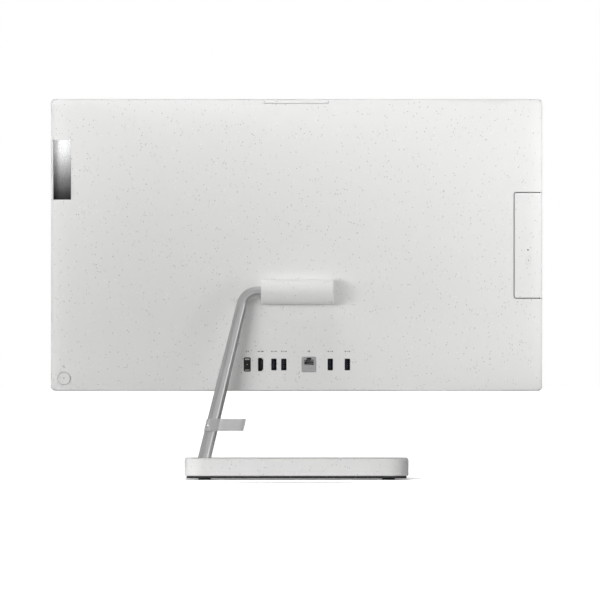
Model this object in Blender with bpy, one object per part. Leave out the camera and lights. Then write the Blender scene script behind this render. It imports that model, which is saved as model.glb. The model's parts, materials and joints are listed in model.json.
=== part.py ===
"""All-in-one desktop computer on an L-shaped metal arm and a rounded box base.

Metres, +Z up. The screen faces -Y and the ports face +Y. The origin is on the desk, under the centre of the
base. Every piece is built at its place, then gets its own origin and hangs from the empty of the part that
carries it, so a moving piece turns or slides about its parent empty.
"""

import math

import bmesh
import bpy
from mathutils import Matrix, Vector

# ---------------------------------------------------------------- driving dimensions
GAP = 0.0003  # clearance between pieces that touch

# display housing
PANEL_HALF = 0.3087
PANEL_LOW = 0.1112
PANEL_HIGH = 0.478
PANEL_CORNER = 0.005
FRAME_FRONT = -0.017
FRAME_BACK = -0.004
FRAME_RIM = 0.002
CHIN = 0.022
GLASS_THICK = 0.0015
BACKLIGHT_BACK = -0.0065
CHASSIS_FRONT = -0.0062
CHASSIS_BACK = -0.005
CHASSIS_HALF = 0.3042
CHASSIS_Z = (0.1170, 0.4735)
CHIN_WALL = 0.003
SPEAKER_BAR = (0.130, PANEL_LOW + 0.006, PANEL_LOW + 0.016, 0.0049)  # half length, low, high, corner
SPEAKER_BAR_THICK = 0.0021
POSTS_X = (-0.130, -0.012, 0.104)  # stand-offs under the mainboard
POSTS_Z = (0.1325, 0.2065)
POST_RADIUS = 0.003

# rear cover: flat in the middle, with a long quarter-ellipse roll to the sides and the top
COVER_INSET = 0.0007
COVER_FRONT = FRAME_BACK + GAP
COVER_BACK = 0.022
COVER_WALL = 0.0022
SIDE_FLAT = 0.150
SIDE_TURN = 0.004
TOP_FLAT = 0.380
TOP_TURN = 0.012
LOW_ROUND = 0.0015
BACK_CORNER = 0.090
COVER_HALF = PANEL_HALF - COVER_INSET

# tilt hinge
HINGE_Y = 0.0365
HINGE_Z = 0.2355
SHAFT_RADIUS = 0.005
SHAFT_END = -0.038
BARREL_LEFT = 0.0446
BARREL_RIGHT = -0.0463
BARREL_RADIUS = 0.0155
BARREL_WALL = 0.0022
LUGS = ((0.016, 0.022), (-0.030, -0.024))
LUG_RADIUS = 0.0095

# arm
ARM_FOOT = Vector((0.1156, 0.058, 0.027))
ARM_CORNER = Vector((0.0646, HINGE_Y, HINGE_Z))
ARM_TIP = Vector((0.030, HINGE_Y, HINGE_Z))
ARM_BEND = 0.020
ARM_FOOT_HALF = (0.0083, 0.011)
ARM_TIP_RADIUS = 0.0070
ARM_FOOT_POWER = 0.72  # below 1 squares the section
ARM_SUNK = 0.0125  # length of arm below the top of the base

# base
BASE_HALF = (0.1406, 0.105)
BASE_LOW = 0.0050
BASE_HIGH = 0.027
BASE_CORNER = 0.026
BASE_EDGE = 0.002
BASE_UNDER = 0.0016  # round of the lower edge
BASE_WALL = 0.0024
PLATE_LOW = 0.0020
PLATE_INSET = 0.0025
FOOT_RADIUS = 0.008
FOOT_PLACES = [(x, y) for x in (-0.1155, 0.1155) for y in (-0.078, 0.078)]
WEIGHT_HALF = (0.125, 0.088)
WEIGHT_HIGH = 0.0107
SOCKET_X = (0.094, 0.137)  # block that clamps the arm's foot inside the base
SOCKET_Y = (0.036, 0.081)
SOCKET_LOW = 0.0120
SCREW_PLACES = ((0.0985, 0.0405), (0.0985, 0.0765))
SCREW_RADIUS = 0.0020
SCREW_HIGH = 0.0225

# cable clip
CLIP_LOW = 0.0612
CLIP_HIGH = 0.0765
CLIP_LEFT = 0.0092  # from the arm's centreline to the clip's two ends
CLIP_RIGHT = 0.0408
CLIP_DEEP = 0.0128
CLIP_WALL = 0.0016

# ports, all on one line: centre x, width, height
PORT_Z = 0.1445
PORT_FRONT = 0.0029
PORT_BACK = COVER_BACK - 0.0004
PORT_WALL = 0.0005
DC_INLET = (0.0619, 0.0083, 0.0173)
DC_CORNER = 0.0013
HDMI_PORT = (0.0451, 0.0060, 0.0162)
USB_PORTS = [(x, 0.0062, 0.0142) for x in (0.0284, 0.0159, -0.0424, -0.0639)]
NETWORK_PORT = (-0.0156, 0.0176, 0.0185)

# optical drive, in the side at -X
BEZEL_RIGHT = -0.2727
BEZEL_LOW = 0.2271
BEZEL_HIGH = 0.3613
BEZEL_CORNER = 0.0032
BEZEL_SEAM = 0.0012
SEAM = 0.0006
DRIVE_Y = (-0.0044, 0.0050)
DRIVE_X = (-0.3000, -0.1760)
DRIVE_Z = (0.2302, 0.3582)
DRIVE_SHEET = 0.0008
DISC_CENTRE = (-0.2400, 0.2942)
DISC_RADIUS = 0.0605
EJECT_CENTRE = (-0.2910, 0.2754)
EJECT_SIZE = (0.0064, 0.0130)
EJECT_HOLE = (-0.2908, 0.2885)

# pop-up camera
CAMERA_HALF = 0.0405
CAMERA_LIP = 0.0058
CAMERA_BODY = (0.038, 0.0, 0.009)  # half width, front, back
CAMERA_LOW = 0.425
CAMERA_EYE = 0.4665

# power button and badge
POWER_CENTRE = (0.292, 0.127)
POWER_RADIUS = 0.0083
BADGE_X = (0.2835, 0.3055)
BADGE_Z = (0.3516, 0.4268)
BADGE_THICK = 0.0005

# cooling
BLOWER_CENTRE = (-0.120, 0.410)
BLOWER_HALF = 0.038
BLOWER_Y = (-0.0044, 0.0090)
FAN_RADIUS = 0.031
FAN_BLADES = 15

# electronics: x, y and z limits
BOARD_Y = (0.0010, 0.0026)
MAINBOARD = ((-0.136, 0.110), BOARD_Y, (0.127, 0.212))
PROCESSOR = ((-0.125, -0.095), (BOARD_Y[1] + GAP, 0.0049), (0.158, 0.188))
MEMORY_X = (0.022, 0.0896)
MEMORY_Z = (0.166, 0.196)
MEMORY_LEVELS = ((0.0032, 0.0062), (0.0072, 0.0102))
SOLID_STATE_DRIVE = ((-0.070, 0.010), (0.0032, 0.0054), (0.183, 0.205))
WIRELESS_CARD = ((-0.070, -0.040), (0.0032, 0.0054), (0.158, 0.180))
BRACKET_X = (0.1195, 0.2230)
BRACKET_Z = (0.2985, 0.3715)
BRACKET_SHEET = 0.0012
HARD_DRIVE_X = (0.1210, 0.2215)
HARD_DRIVE_Z = (0.3000, 0.36985)
SPEAKERS = (("speaker_left", 0.150, 0.240), ("speaker_right", -0.240, -0.150))
SPEAKER_BACK = 0.0115
SPEAKER_Z = (0.1205, 0.1600)

WHITE = (0.80, 0.79, 0.77)
BLACK = (0.012, 0.012, 0.013)
STEEL = (0.56, 0.57, 0.58)
ALUMINIUM = (0.62, 0.62, 0.61)
COPPER = (0.72, 0.36, 0.20)
GREEN = (0.015, 0.10, 0.045)

AXES = {"X": (1, 2, 0), "Y": (0, 2, 1), "Z": (0, 1, 2)}
ORIGINS = {}


# ---------------------------------------------------------------- outlines and solids
def rounded_rectangle(u0, u1, v0, v1, radius, steps=4):
    """Points of a rounded rectangle, anticlockwise from the right side's top."""
    corners = ((u1, v1, 0), (u0, v1, 90), (u0, v0, 180), (u1, v0, 270))
    points = []
    for u, v, start in corners:
        cu = u - math.copysign(radius, u - (u0 + u1) / 2)
        cv = v - math.copysign(radius, v - (v0 + v1) / 2)
        for step in range(steps + 1):
            angle = math.radians(start + 90 * step / steps)
            points.append((cu + radius * math.cos(angle), cv + radius * math.sin(angle)))
    return points


def centred(cu, cv, width, height):
    """Limits of a rectangle about its centre."""
    return cu - width / 2, cu + width / 2, cv - height / 2, cv + height / 2


def circle(cu, cv, radius, sides=24):
    """Points of a regular polygon."""
    angles = [2 * math.pi * side / sides for side in range(sides)]
    return [(cu + radius * math.cos(a), cv + radius * math.sin(a)) for a in angles]


def lift(outline, axis, level):
    """A flat outline as points in space, across the axis at that level."""
    u, v, w = AXES[axis]
    points = []
    for pair in outline:
        point = [0.0, 0.0, 0.0]
        point[u], point[v], point[w] = pair[0], pair[1], level
        points.append(Vector(point))
    return points


def loft(rings):
    """Closed solid through rings that have the same number of points."""
    shape = bmesh.new()
    loops = [[shape.verts.new(point) for point in ring] for ring in rings]
    for low, high in zip(loops, loops[1:]):
        for here in range(len(low)):
            there = (here + 1) % len(low)
            shape.faces.new((low[here], low[there], high[there], high[here]))
    shape.faces.new(loops[0])
    shape.faces.new(loops[-1])
    bmesh.ops.recalc_face_normals(shape, faces=shape.faces)
    return shape


def prism(outline, axis, low, high):
    """An outline extruded along an axis."""
    return loft([lift(outline, axis, low), lift(outline, axis, high)])


def block(x, y, z):
    """A box from its limits along each axis."""
    return prism([(x[0], y[0]), (x[1], y[0]), (x[1], y[1]), (x[0], y[1])], "Z", *z)


def disc(cu, cv, radius, axis, low, high, sides=24):
    """A round prism."""
    return prism(circle(cu, cv, radius, sides), axis, low, high)


def tube(path, radius, sides=8):
    """A round bar along a path of points."""
    rings = []
    for here, point in enumerate(path):
        before, after = path[max(here - 1, 0)], path[min(here + 1, len(path) - 1)]
        along = (after - before).normalized()
        across = along.cross(Vector((0, 1, 0))).normalized()
        deep = along.cross(across)
        rings.append([point + across * u + deep * v for u, v in circle(0, 0, radius, sides)])
    return loft(rings)


def gathered(shapes):
    """Several separate solids in one mesh, for use as a cutter."""
    whole = bmesh.new()
    for shape in shapes:
        mesh = bpy.data.meshes.new("part")
        shape.to_mesh(mesh)
        whole.from_mesh(mesh)
        bpy.data.meshes.remove(mesh)
    return whole


# ---------------------------------------------------------------- objects
def finish(name, colour, roughness, metallic):
    """A Principled material."""
    material = bpy.data.materials.new(name)
    material.use_nodes = True
    shader = material.node_tree.nodes["Principled BSDF"]
    shader.inputs["Base Color"].default_value = (*colour, 1)
    shader.inputs["Roughness"].default_value = roughness
    shader.inputs["Metallic"].default_value = metallic
    return material


def carrier(name, place, parent=None):
    """An empty that carries pieces; its origin is on the joint's axis."""
    empty = bpy.data.objects.new(name, None)
    bpy.context.scene.collection.objects.link(empty)
    ORIGINS[name] = Vector(place)
    empty.parent = parent
    empty.location = ORIGINS[name] - (ORIGINS[parent.name] if parent else Vector())
    return empty


def mesh_object(name, shape, origin):
    """A mesh object whose origin is at a point of the model."""
    mesh = bpy.data.meshes.new(name)
    shape.transform(Matrix.Translation(-origin))
    shape.to_mesh(mesh)
    shape.free()
    thing = bpy.data.objects.new(name, mesh)
    bpy.context.scene.collection.objects.link(thing)
    ORIGINS[name] = origin
    return thing


def piece(name, shape, parent, colour, roughness=0.5, metallic=0.0, origin=None, smooth=None):
    """One physical piece, hung from its carrier."""
    corners = [vertex.co for vertex in shape.verts]
    middle = Vector([(min(c[i] for c in corners) + max(c[i] for c in corners)) / 2 for i in range(3)])
    thing = mesh_object(name, shape, Vector(origin) if origin else middle)
    thing.parent = parent
    thing.location = ORIGINS[name] - ORIGINS[parent.name]
    thing.data.materials.append(finish(f"{name}_finish", colour, roughness, metallic))
    if smooth:
        thing.data.shade_smooth()
        thing.data.set_sharp_from_angle(angle=math.radians(smooth))
    return thing


def boolean(target, shape, operation="DIFFERENCE"):
    """Cuts a shape from a piece, or joins it on; the hidden tool follows its piece."""
    origin = ORIGINS[target.name]
    tool = mesh_object(f"{target.name}_tool_{len(target.modifiers) + 1}", shape, origin)
    tool.parent = target
    tool.location = (0, 0, 0)
    tool.hide_render = True
    tool.display_type = "WIRE"
    modifier = target.modifiers.new(operation.capitalize(), "BOOLEAN")
    modifier.operation = operation
    modifier.solver = "EXACT"
    modifier.object = tool
    return target


# ---------------------------------------------------------------- rear cover's form
def quarter(value, start, end):
    """Falls from 1 at start to 0 at end along a quarter circle."""
    share = min(max((value - start) / (end - start), 0.0), 1.0)
    return math.sqrt(1 - share * share)


def cover_ring(level, wall=0.0):
    """Outline of the cover's form at a depth, moved in by a wall."""
    back = COVER_BACK - wall
    side = quarter(level, SIDE_TURN - wall / 2, back)
    half = SIDE_FLAT + (COVER_HALF - wall - SIDE_FLAT) * side
    top_reach = PANEL_HIGH - COVER_INSET - wall - TOP_FLAT
    top = TOP_FLAT + top_reach * quarter(level, TOP_TURN - wall / 2, back)
    low_edge = PANEL_LOW + COVER_INSET + wall
    bottom = low_edge + LOW_ROUND * (1 - quarter(level, back - LOW_ROUND, back))
    corner = PANEL_CORNER + (BACK_CORNER - PANEL_CORNER) * (1 - side)
    return lift(rounded_rectangle(-half, half, bottom, top, corner, 8), "Y", level)


def cover_levels(wall=0.0):
    """Depths at which the cover's form is drawn, closer together where it turns flat."""
    start = SIDE_TURN - wall / 2
    reach = COVER_BACK - wall - start
    return [COVER_FRONT] + [start + reach * math.sin(math.radians(angle)) for angle in range(0, 91, 10)]


def cover_form(wall=0.0):
    """The cover's form as a closed solid."""
    return loft([cover_ring(level, wall) for level in cover_levels(wall)])


def side_depth(x):
    """Depth of the cover's outer face at a distance from the middle, near the sides."""
    return SIDE_TURN + (COVER_BACK - SIDE_TURN) * quarter(abs(x), SIDE_FLAT, COVER_HALF)


def side_strip(x0, x1, low, high, z0, z1, steps=8):
    """A strip that follows the cover's side, between two heights above its face."""
    outer, inner = [], []
    for step in range(steps + 1):
        x = x0 + (x1 - x0) * step / steps
        ahead = Vector((2e-5, side_depth(x + 1e-5) - side_depth(x - 1e-5)))
        normal = Vector((-ahead.y, ahead.x)).normalized()
        point = Vector((x, side_depth(x)))
        outer.append(tuple(point + normal * high))
        inner.append(tuple(point + normal * low))
    return prism(outer + inner[::-1], "Z", z0, z1)


# ---------------------------------------------------------------- stand
def arm_solid(margin=0.0, sides=20, tip=ARM_TIP):
    """The arm: a rounded bar that leans up from the base, turns, and becomes round at the hinge."""
    up = (ARM_CORNER - ARM_FOOT).normalized()
    along = (tip - ARM_CORNER).normalized()
    turn = up.angle(along)
    normal = up.cross(along).normalized()
    reach = ARM_BEND * math.tan(turn / 2)
    bend_start = ARM_CORNER - up * reach
    centre = bend_start + normal.cross(up) * ARM_BEND
    straight = (bend_start - ARM_FOOT).length

    stations = [(ARM_FOOT - up * ARM_SUNK, up, 0.0)]
    stations += [(ARM_FOOT + up * straight * share, up, share) for share in (0.0, 0.25, 0.5, 0.75, 1.0)]
    for step in range(1, 9):
        swing = Matrix.Rotation(turn * step / 8, 3, normal)
        stations.append((centre + swing @ (bend_start - centre), swing @ up, 1.0))
    stations.append((tip, along, 1.0))

    rings = []
    for point, direction, share in stations:
        inwards = normal.cross(direction)
        wide = ARM_FOOT_HALF[0] + (ARM_TIP_RADIUS - ARM_FOOT_HALF[0]) * share + margin
        deep = ARM_FOOT_HALF[1] + (ARM_TIP_RADIUS - ARM_FOOT_HALF[1]) * share + margin
        power = ARM_FOOT_POWER + (1 - ARM_FOOT_POWER) * share
        ring = []
        for u, v in circle(0, 0, 1, sides):
            across = math.copysign(abs(u) ** power, u) * wide
            depth = math.copysign(abs(v) ** power, v) * deep
            ring.append(point + inwards * across + normal * depth)
        rings.append(ring)
    return loft(rings)


def arm_centre(level):
    """Centre of the arm's straight part at a height."""
    up = (ARM_CORNER - ARM_FOOT).normalized()
    return ARM_FOOT + up * ((level - ARM_FOOT.z) / up.z)


def base_ring(level, inset):
    """Outline of the base at a height."""
    half_x, half_y = (half - inset for half in BASE_HALF)
    outline = rounded_rectangle(-half_x, half_x, -half_y, half_y, BASE_CORNER - inset, 8)
    return lift(outline, "Z", level)


def build_stand(stand):
    """Base, arm, feet and cable clip."""
    outer = []
    for angle in (90, 60, 30, 0):
        rise = BASE_UNDER * (1 - math.sin(math.radians(angle)))
        outer.append(base_ring(BASE_LOW + rise, BASE_UNDER * (1 - math.cos(math.radians(angle)))))
    for angle in (0, 30, 60, 90):
        drop = BASE_EDGE * (1 - math.sin(math.radians(angle)))
        outer.append(base_ring(BASE_HIGH - drop, BASE_EDGE * (1 - math.cos(math.radians(angle)))))
    inner = [base_ring(BASE_HIGH - BASE_WALL, BASE_WALL), base_ring(BASE_LOW, BASE_WALL)]
    shell = piece("base_shell", loft(inner + outer), stand, WHITE, 0.45, smooth=35)
    boolean(shell, arm_solid(GAP))

    plate = loft([base_ring(PLATE_LOW, PLATE_INSET), base_ring(BASE_LOW - GAP, PLATE_INSET)])
    piece("base_plate", plate, stand, BLACK, 0.6)

    half_x, half_y = WEIGHT_HALF
    outline = rounded_rectangle(-half_x, half_x, -half_y, half_y, 0.016)
    weight = prism(outline, "Z", BASE_LOW + GAP, WEIGHT_HIGH)
    piece("base_weight", weight, stand, STEEL, 0.5, 0.9)

    for number, (x, y) in enumerate(FOOT_PLACES, 1):
        foot = disc(x, y, FOOT_RADIUS, "Z", 0.0, PLATE_LOW - GAP, 20)
        piece(f"rubber_foot_{number}", foot, stand, BLACK, 0.85)

    socket = block(SOCKET_X, SOCKET_Y, (SOCKET_LOW, BASE_HIGH - BASE_WALL - GAP))
    holder = piece("arm_socket", socket, stand, STEEL, 0.45, 0.9)
    boolean(holder, arm_solid(GAP))
    well_z = (SOCKET_LOW - 0.002, SCREW_HIGH + 0.0005)
    wells = [disc(x, y, SCREW_RADIUS + 0.0004, "Z", *well_z, 12) for x, y in SCREW_PLACES]
    boolean(holder, gathered(wells))
    for number, (x, y) in enumerate(SCREW_PLACES, 1):
        screw = disc(x, y, SCREW_RADIUS, "Z", SOCKET_LOW + GAP, SCREW_HIGH, 12)
        piece(f"socket_screw_{number}", screw, stand, STEEL, 0.35, 0.9)

    arm = piece("arm", arm_solid(), stand, ALUMINIUM, 0.35, 0.9, smooth=50)
    boolean(arm, disc(HINGE_Y, HINGE_Z, SHAFT_RADIUS + GAP, "X", 0.020, 0.048, 16))

    rod = disc(HINGE_Y, HINGE_Z, SHAFT_RADIUS, "X", SHAFT_END, 0.048 - GAP, 16)
    piece("hinge_shaft", rod, stand, STEEL, 0.3, 0.95, origin=(0, HINGE_Y, HINGE_Z), smooth=30)
    for name, limits, radius, sides in (
        ("thrust_washer", (0.0235, 0.0260), 0.0092, 20),
        ("shaft_nut", (-0.0360, -0.0305), 0.0088, 6),
    ):
        ring = piece(name, disc(HINGE_Y, HINGE_Z, radius, "X", *limits, sides), stand, STEEL, 0.4, 0.95)
        boolean(ring, disc(HINGE_Y, HINGE_Z, SHAFT_RADIUS + GAP, "X", -0.05, 0.05, 16))


def build_clip(stand):
    """The loop that holds cables beside the arm; it slides up along the arm."""
    rings = []
    slots = []
    for level in (CLIP_LOW, CLIP_HIGH):
        centre = arm_centre(level)
        left, right = centre.x + CLIP_LEFT, centre.x - CLIP_RIGHT
        front, back = centre.y - CLIP_DEEP, centre.y + CLIP_DEEP
        rings.append(lift(rounded_rectangle(right, left, front, back, 0.0088, 5), "Z", level))
        past = 0.001 if level == CLIP_HIGH else -0.001
        slot = (right + CLIP_WALL, centre.x - 0.0108, front + CLIP_WALL, back - CLIP_WALL)
        slots.append(lift(rounded_rectangle(*slot, 0.0070, 5), "Z", level + past))
    middle = arm_centre((CLIP_LOW + CLIP_HIGH) / 2)
    slider = carrier("clip_slide", middle, stand)
    clip = piece("cable_clip", loft(rings), slider, (0.45, 0.46, 0.47), 0.35, smooth=35)
    boolean(clip, loft(slots))
    boolean(clip, arm_solid(0.0005))


# ---------------------------------------------------------------- display housing
def build_screen(display):
    """Glass, backlight, front frame, speaker bar and chassis plate."""
    outline = rounded_rectangle(-PANEL_HALF, PANEL_HALF, PANEL_LOW, PANEL_HIGH, PANEL_CORNER, 5)
    frame = piece("front_frame", prism(outline, "Y", FRAME_FRONT, FRAME_BACK), display, WHITE, 0.45)
    half = PANEL_HALF - FRAME_RIM
    screen_low, screen_high = PANEL_LOW + CHIN, PANEL_HIGH - FRAME_RIM
    boolean(frame, block((-half, half), (-0.03, 0.01), (screen_low, screen_high)))
    recess = (PANEL_LOW + FRAME_RIM, screen_low + 0.01)
    boolean(frame, block((-half, half), (CHASSIS_FRONT - GAP, 0.01), recess))
    chin_inside = (PANEL_LOW + CHIN_WALL, screen_low - CHIN_WALL)
    boolean(frame, block((-0.296, 0.296), (FRAME_FRONT + CHIN_WALL, 0.0), chin_inside))
    half_bar, bar_low, bar_high, bar_corner = SPEAKER_BAR
    slot = rounded_rectangle(-half_bar, half_bar, bar_low, bar_high, bar_corner, 5)
    boolean(frame, prism(slot, "Y", -0.03, -0.010))

    inside = (GAP - half_bar, half_bar - GAP, bar_low + GAP, bar_high - GAP)
    grille = rounded_rectangle(*inside, bar_corner - GAP, 5)
    grille_front = FRAME_FRONT + 0.0004
    speaker_bar = prism(grille, "Y", grille_front, grille_front + SPEAKER_BAR_THICK)
    piece("speaker_bar", speaker_bar, display, (0.10, 0.10, 0.11), 0.9)

    rim = half - GAP
    glass_front = FRAME_FRONT + GAP
    glass_back = glass_front + GLASS_THICK
    glass = block((-rim, rim), (glass_front, glass_back), (screen_low + GAP, screen_high - GAP))
    piece("display_glass", glass, display, (0.006, 0.006, 0.007), 0.08)
    light_edge = half - 0.002
    light_z = (screen_low + 0.002, screen_high - 0.002)
    light = block((-light_edge, light_edge), (glass_back + GAP, BACKLIGHT_BACK), light_z)
    piece("backlight_unit", light, display, (0.45, 0.45, 0.46), 0.45, 0.6)

    sheet = block((-CHASSIS_HALF, CHASSIS_HALF), (CHASSIS_FRONT, CHASSIS_BACK), CHASSIS_Z)
    chassis = piece("chassis_plate", sheet, display, STEEL, 0.5, 0.9)
    post_y = ((CHASSIS_FRONT + CHASSIS_BACK) / 2, BOARD_Y[0] - GAP)
    posts = [disc(x, z, POST_RADIUS, "Y", *post_y, 8) for x in POSTS_X for z in POSTS_Z]
    boolean(chassis, gathered(posts), "UNION")


def build_cover(display):
    """Rear cover with its openings, the hinge cover and the badge."""
    outer = [cover_ring(level) for level in cover_levels()]
    inner = [cover_ring(level, COVER_WALL) for level in cover_levels(COVER_WALL)]
    cover = piece("rear_cover", loft(inner[::-1] + outer), display, WHITE, 0.45, smooth=25)

    holes = []
    for x, width, height in (HDMI_PORT, *USB_PORTS, NETWORK_PORT):
        limits = centred(x, PORT_Z, width + 2 * GAP, height + 2 * GAP)
        holes.append(prism(rounded_rectangle(*limits, 0.0008, 2), "Y", 0.015, 0.030))
    x, width, height = DC_INLET
    limits = centred(x, PORT_Z, width + 2 * GAP, height + 2 * GAP)
    holes.append(prism(rounded_rectangle(*limits, DC_CORNER + GAP, 3), "Y", 0.015, 0.030))
    holes.append(disc(*POWER_CENTRE, POWER_RADIUS, "Y", 0.002, 0.030, 28))
    holes.append(block((-0.040, 0.030), (0.015, 0.030), (HINGE_Z - 0.0115, HINGE_Z + 0.0115)))
    bay = rounded_rectangle(-0.32, BEZEL_RIGHT, BEZEL_LOW, BEZEL_HIGH, BEZEL_CORNER, 5)
    holes.append(prism(bay, "Y", -0.02, 0.03))
    holes.append(block((-CAMERA_HALF, CAMERA_HALF), (-0.02, 0.03), (PANEL_HIGH - CAMERA_LIP, 0.49)))
    boolean(cover, gathered(holes))
    boolean(cover, side_strip(BADGE_X[0] - GAP, BADGE_X[1] + GAP, -BADGE_THICK - 2 * GAP, 0.002,
                              BADGE_Z[0] - GAP, BADGE_Z[1] + GAP))
    slots = [block((x, x + 0.0025), (-0.001, 0.0075), (0.470, 0.480))
             for x in (-0.157 + 0.0055 * step for step in range(14))]
    slots += [block((x, x + 0.0025), (0.0, 0.013), (PANEL_LOW - 0.002, PANEL_LOW + 0.006))
              for x in (-0.128 + 0.0062 * step for step in range(20))]
    boolean(cover, gathered(slots))

    strip = side_strip(*BADGE_X, -BADGE_THICK - GAP, -GAP, *BADGE_Z)
    piece("badge_plate", strip, display, (0.55, 0.55, 0.56), 0.15, 1.0, smooth=40)

    face = COVER_BACK + GAP
    arc = [math.radians(-90 + 15 * step) for step in range(13)]
    outline = [(HINGE_Y + BARREL_RADIUS * math.cos(a), HINGE_Z + BARREL_RADIUS * math.sin(a)) for a in arc]
    hollow = BARREL_RADIUS - BARREL_WALL
    bore = [(HINGE_Y + hollow * math.cos(a), HINGE_Z + hollow * math.sin(a)) for a in arc]
    outline = [(face, HINGE_Z - BARREL_RADIUS)] + outline + [(face, HINGE_Z + BARREL_RADIUS)]
    shape = prism(outline, "X", BARREL_RIGHT, BARREL_LEFT)
    barrel = piece("hinge_cover", shape, display, WHITE, 0.45, smooth=35)
    pocket = [(0.020, HINGE_Z - hollow)] + bore + [(0.020, HINGE_Z + hollow)]
    boolean(barrel, prism(pocket, "X", BARREL_RIGHT + BARREL_WALL, BARREL_LEFT - BARREL_WALL))
    boolean(barrel, disc(HINGE_Y, HINGE_Z, ARM_TIP_RADIUS + 0.0005, "X", 0.030, 0.060, 24))


def build_hinge(display):
    """Bracket with two lugs round the shaft, and the friction barrel between them."""
    plate = block((-0.055, 0.055), (CHASSIS_BACK + GAP, -0.0026), (0.2145, 0.2755))
    bracket = piece("hinge_bracket", plate, display, STEEL, 0.45, 0.9)
    for x0, x1 in LUGS:
        lug = block((x0, x1), (-0.0036, HINGE_Y), (HINGE_Z - LUG_RADIUS, HINGE_Z + LUG_RADIUS))
        boolean(bracket, lug, "UNION")
        boolean(bracket, disc(HINGE_Y, HINGE_Z, LUG_RADIUS, "X", x0, x1, 24), "UNION")
    boolean(bracket, disc(HINGE_Y, HINGE_Z, SHAFT_RADIUS + GAP, "X", -0.06, 0.06, 16))
    limits = (LUGS[1][1] + GAP, LUGS[0][0] - GAP)
    sleeve = disc(HINGE_Y, HINGE_Z, 0.0088, "X", *limits, 20)
    friction = piece("friction_barrel", sleeve, display, (0.20, 0.20, 0.21), 0.4, 0.9)
    boolean(friction, disc(HINGE_Y, HINGE_Z, SHAFT_RADIUS + GAP, "X", -0.05, 0.05, 16))


def build_power(display):
    """Power button, flush with the curved cover, over its switch."""
    x, z = POWER_CENTRE
    slider = carrier("power_slide", (x, side_depth(x), z), display)
    axis = ORIGINS["power_slide"]
    button = piece("power_button", cover_form(), slider, WHITE, 0.4, origin=axis, smooth=30)
    boolean(button, disc(x, z, POWER_RADIUS - SEAM, "Y", 0.0042, 0.030, 28), "INTERSECT")
    boolean(button, disc(x, z, POWER_RADIUS + 0.0008, "Y", 0.0032, 0.0046, 28), "UNION")
    switch = block((x - 0.006, x + 0.006), (CHASSIS_BACK + GAP, 0.0020), (z - 0.0055, z + 0.006))
    piece("power_switch", switch, display, BLACK, 0.5)


def build_camera(display):
    """Camera module that slides up out of the top edge."""
    half, front, back = CAMERA_BODY
    slider = carrier("camera_slide", (0, (front + back) / 2, PANEL_HIGH), display)
    axis = ORIGINS["camera_slide"]
    housing = piece("camera_housing", cover_form(), slider, WHITE, 0.45, origin=axis, smooth=25)
    reach = CAMERA_HALF - SEAM / 2
    lip = block((-reach, reach), (COVER_FRONT + GAP, 0.03), (PANEL_HIGH - CAMERA_LIP + SEAM, 0.49))
    boolean(housing, lip, "INTERSECT")
    boolean(housing, block((-half, half), (front, back), (CAMERA_LOW, PANEL_HIGH - 0.004)), "UNION")
    boolean(housing, block((-0.0325, 0.0325), (-0.001, 0.0013), (0.4605, 0.4715)))
    boolean(housing, disc(0, CAMERA_EYE, 0.0038, "Y", 0.0, 0.0045, 16))
    pane = block((-0.0322, 0.0322), (front, 0.0008), (0.4608, 0.4712))
    piece("camera_window", pane, slider, BLACK, 0.08)
    eye = disc(0, CAMERA_EYE, 0.0034, "Y", 0.0013, 0.0042, 16)
    piece("camera_lens", eye, slider, (0.02, 0.02, 0.05), 0.05, smooth=30)

    channel = block((-0.044, 0.044), (-0.0032, 0.0115), (0.419, 0.4695))
    guide = piece("camera_guide", channel, display, BLACK, 0.5)
    boolean(guide, block((-half - GAP, half + GAP), (front - GAP, back + GAP), (0.4235, 0.480)))


# ---------------------------------------------------------------- ports and electronics
def port(name, place, parent, colour, corner, cavity_wall=PORT_WALL, tongue=None, metallic=0.8):
    """A connector shell, open to the back, with an optional tongue along its height."""
    x, width, height = place
    limits = centred(x, PORT_Z, width, height)
    outline = rounded_rectangle(*limits, corner, 2)
    shell = piece(name, prism(outline, "Y", PORT_FRONT, PORT_BACK), parent, colour, 0.35, metallic)
    hole = centred(x, PORT_Z, width - 2 * cavity_wall, height - 2 * cavity_wall)
    hole_corner = max(corner - cavity_wall, 0.0002)
    boolean(shell, prism(rounded_rectangle(*hole, hole_corner, 2), "Y", PORT_FRONT + 0.003, 0.03))
    if tongue:
        shift, thick, tall = tongue
        limits = centred(x + shift, PORT_Z, thick, tall)
        blade = block(limits[:2], (PORT_FRONT + 0.001, PORT_BACK - 0.0015), limits[2:])
        boolean(shell, blade, "UNION")
    return shell


def build_ports(display):
    """The row of rear connectors."""
    inlet = port("dc_inlet", DC_INLET, display, BLACK, DC_CORNER, 0.0011, metallic=0.0)
    pin = disc(DC_INLET[0], PORT_Z, 0.0006, "Y", PORT_FRONT + 0.001, PORT_BACK - 0.003, 8)
    boolean(inlet, pin, "UNION")
    port("hdmi_port", HDMI_PORT, display, STEEL, 0.0006, tongue=(0.0, 0.0016, 0.0110))
    for number, place in enumerate(USB_PORTS, 1):
        port(f"usb_port_{number}", place, display, STEEL, 0.0004, tongue=(0.0010, 0.0018, 0.0112))

    x, width, height = NETWORK_PORT
    limits = centred(x, PORT_Z, width, height)
    shell = prism(rounded_rectangle(*limits, 0.0004, 2), "Y", PORT_FRONT, PORT_BACK)
    network = piece("network_port", shell, display, STEEL, 0.35, 0.8)
    opening_top = PORT_Z + height / 2 - 0.0010
    opening = [(x - 0.0059, opening_top - 0.0088), (x + 0.0059, opening_top - 0.0088)]
    opening += [(x + 0.0059, opening_top - 0.0022), (x + 0.0030, opening_top - 0.0022)]
    opening += [(x + 0.0030, opening_top), (x - 0.0030, opening_top)]
    opening += [(x - 0.0030, opening_top - 0.0022), (x - 0.0059, opening_top - 0.0022)]
    boolean(network, prism(opening, "Y", PORT_FRONT + 0.004, 0.03))


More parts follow.
